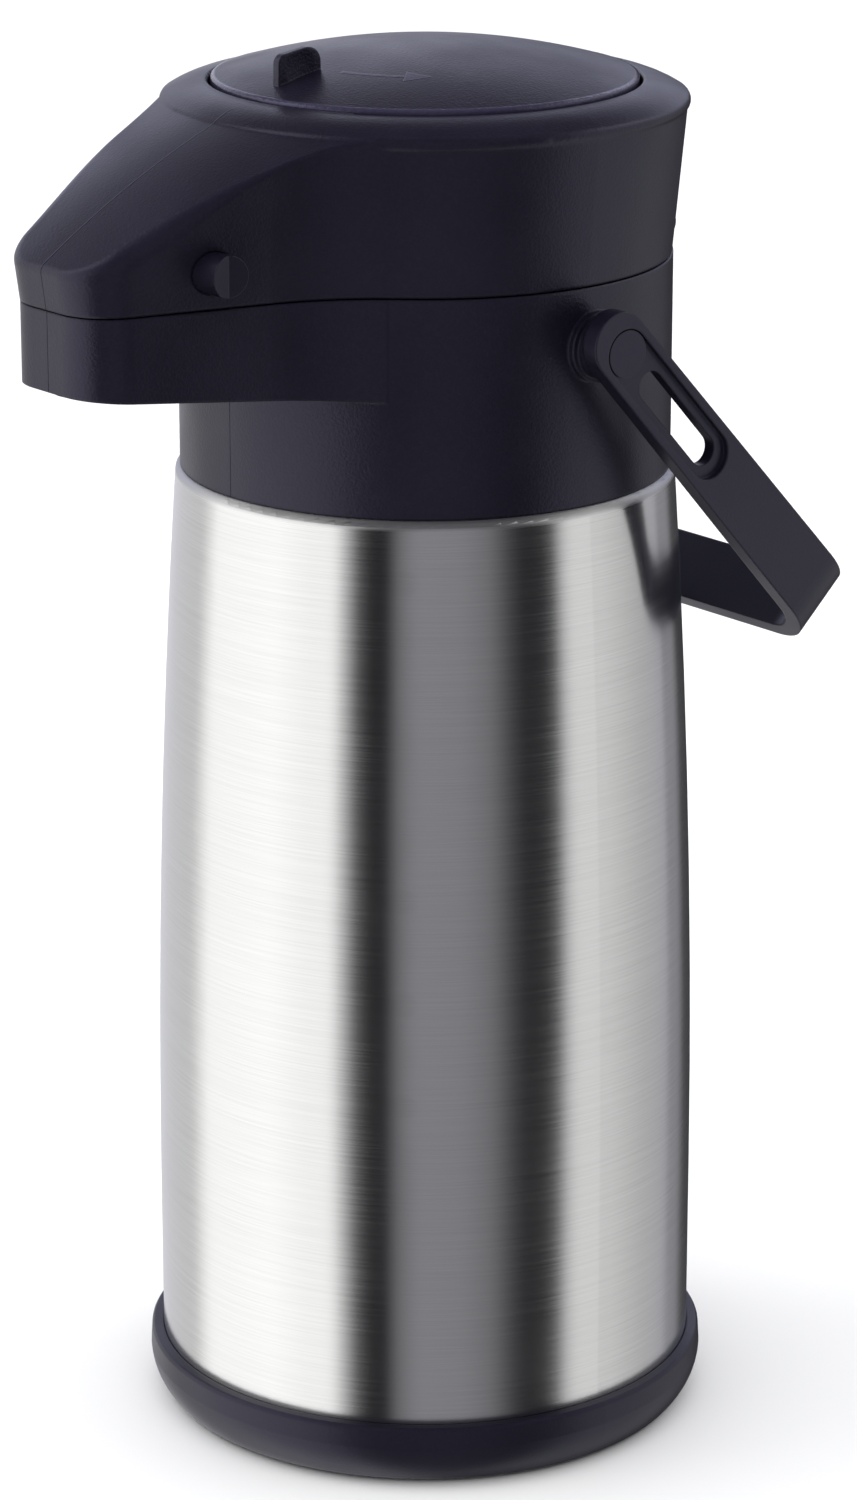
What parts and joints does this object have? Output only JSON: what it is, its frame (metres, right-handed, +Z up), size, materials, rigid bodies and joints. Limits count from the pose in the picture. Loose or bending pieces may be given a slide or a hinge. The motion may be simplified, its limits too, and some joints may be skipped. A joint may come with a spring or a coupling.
{
  "type": "thermal coffee airpot",
  "caption": "Pump-top vacuum jug: brushed steel body, black plastic base, collar with beak spout, hinged pump lid with domed push button, squeeze catches and swinging strap handle.",
  "frame": {"origin": "on the body's axis, on the surface that the pot stands on", "axes": "+Z up, -Y towards the spout, +X towards the handle pivot on the right as seen from behind the spout looking out"},
  "size_m": [0.154, 0.2082, 0.3754],
  "materials": {
    "brushed_shell": "fine brushing round the body",
    "vessel_steel": "satin, electropolished inside",
    "black_plastic": "fine spark-eroded grain",
    "gloss_black": "smooth satin gloss",
    "food_plastic": "translucent natural food plastic",
    "liner_plastic": "plain moulded",
    "seal_rubber": "silicone",
    "foot_rubber": "soft matt",
    "spring_steel": "drawn wire"
  },
  "bodies": {
    "pot": {"outer_shell": "brushed_shell", "inner_vessel": "vessel_steel", "shell_bottom": "vessel_steel", "base_ring": "black_plastic", "foot_ring": "foot_rubber", "collar": "black_plastic", "mouth_funnel": "liner_plastic", "neck_seal": "seal_rubber", "dip_tube": "food_plastic", "siphon_elbow": "food_plastic", "tip_ball": "spring_steel", "outlet_pipe": "food_plastic", "spout_nozzle": "liner_plastic", "handle_pin_left": "gloss_black", "handle_pin_right": "gloss_black", "lid_hinge_pin": "spring_steel"},
    "lid": {"lid_shell": "black_plastic", "lid_liner": "liner_plastic", "mouth_gasket": "seal_rubber", "lid_screws": "spring_steel", "air_valve": "seal_rubber", "bellows": "seal_rubber", "pump_spring": "spring_steel", "catch_guide": "liner_plastic"},
    "plunger": {"plunger_carrier": "liner_plastic"},
    "button": {"push_button": "black_plastic"},
    "handle": {"handle": "black_plastic"},
    "catch_left": {"release_left": "gloss_black"},
    "catch_right": {"release_right": "gloss_black"}
  },
  "joints": [
    {"name": "lid_hinge", "type": "hinge", "parent": "pot", "child": "lid", "pos_m": [0, 0.0695, 0.3187], "axis": [-1, 0, 0], "range_deg": [0, 95]},
    {"name": "pump_slide", "type": "slide", "parent": "lid", "child": "plunger", "axis": [0, 0, -1], "range_m": [0, 0.02], "stiffness_N_per_m": 500, "springref_m": -0.01, "deforming": ["bellows", "pump_spring"]},
    {"name": "button_turn", "type": "hinge", "parent": "plunger", "child": "button", "pos_m": [0, 0, 0.36], "axis": [0, 0, 1], "range_deg": [0, 35]},
    {"name": "handle_swing", "type": "hinge", "parent": "pot", "child": "handle", "pos_m": [0, 0.0025, 0.3035], "axis": [1, 0, 0], "range_deg": [0, 190]},
    {"name": "catch_left_squeeze", "type": "slide", "parent": "lid", "child": "catch_left", "axis": [1, 0, 0], "range_m": [0, 0.003], "stiffness_N_per_m": 600, "springref_m": -0.002},
    {"name": "catch_right_squeeze", "type": "slide", "parent": "lid", "child": "catch_right", "axis": [-1, 0, 0], "range_m": [0, 0.003], "stiffness_N_per_m": 600, "springref_m": -0.002}
  ]
}
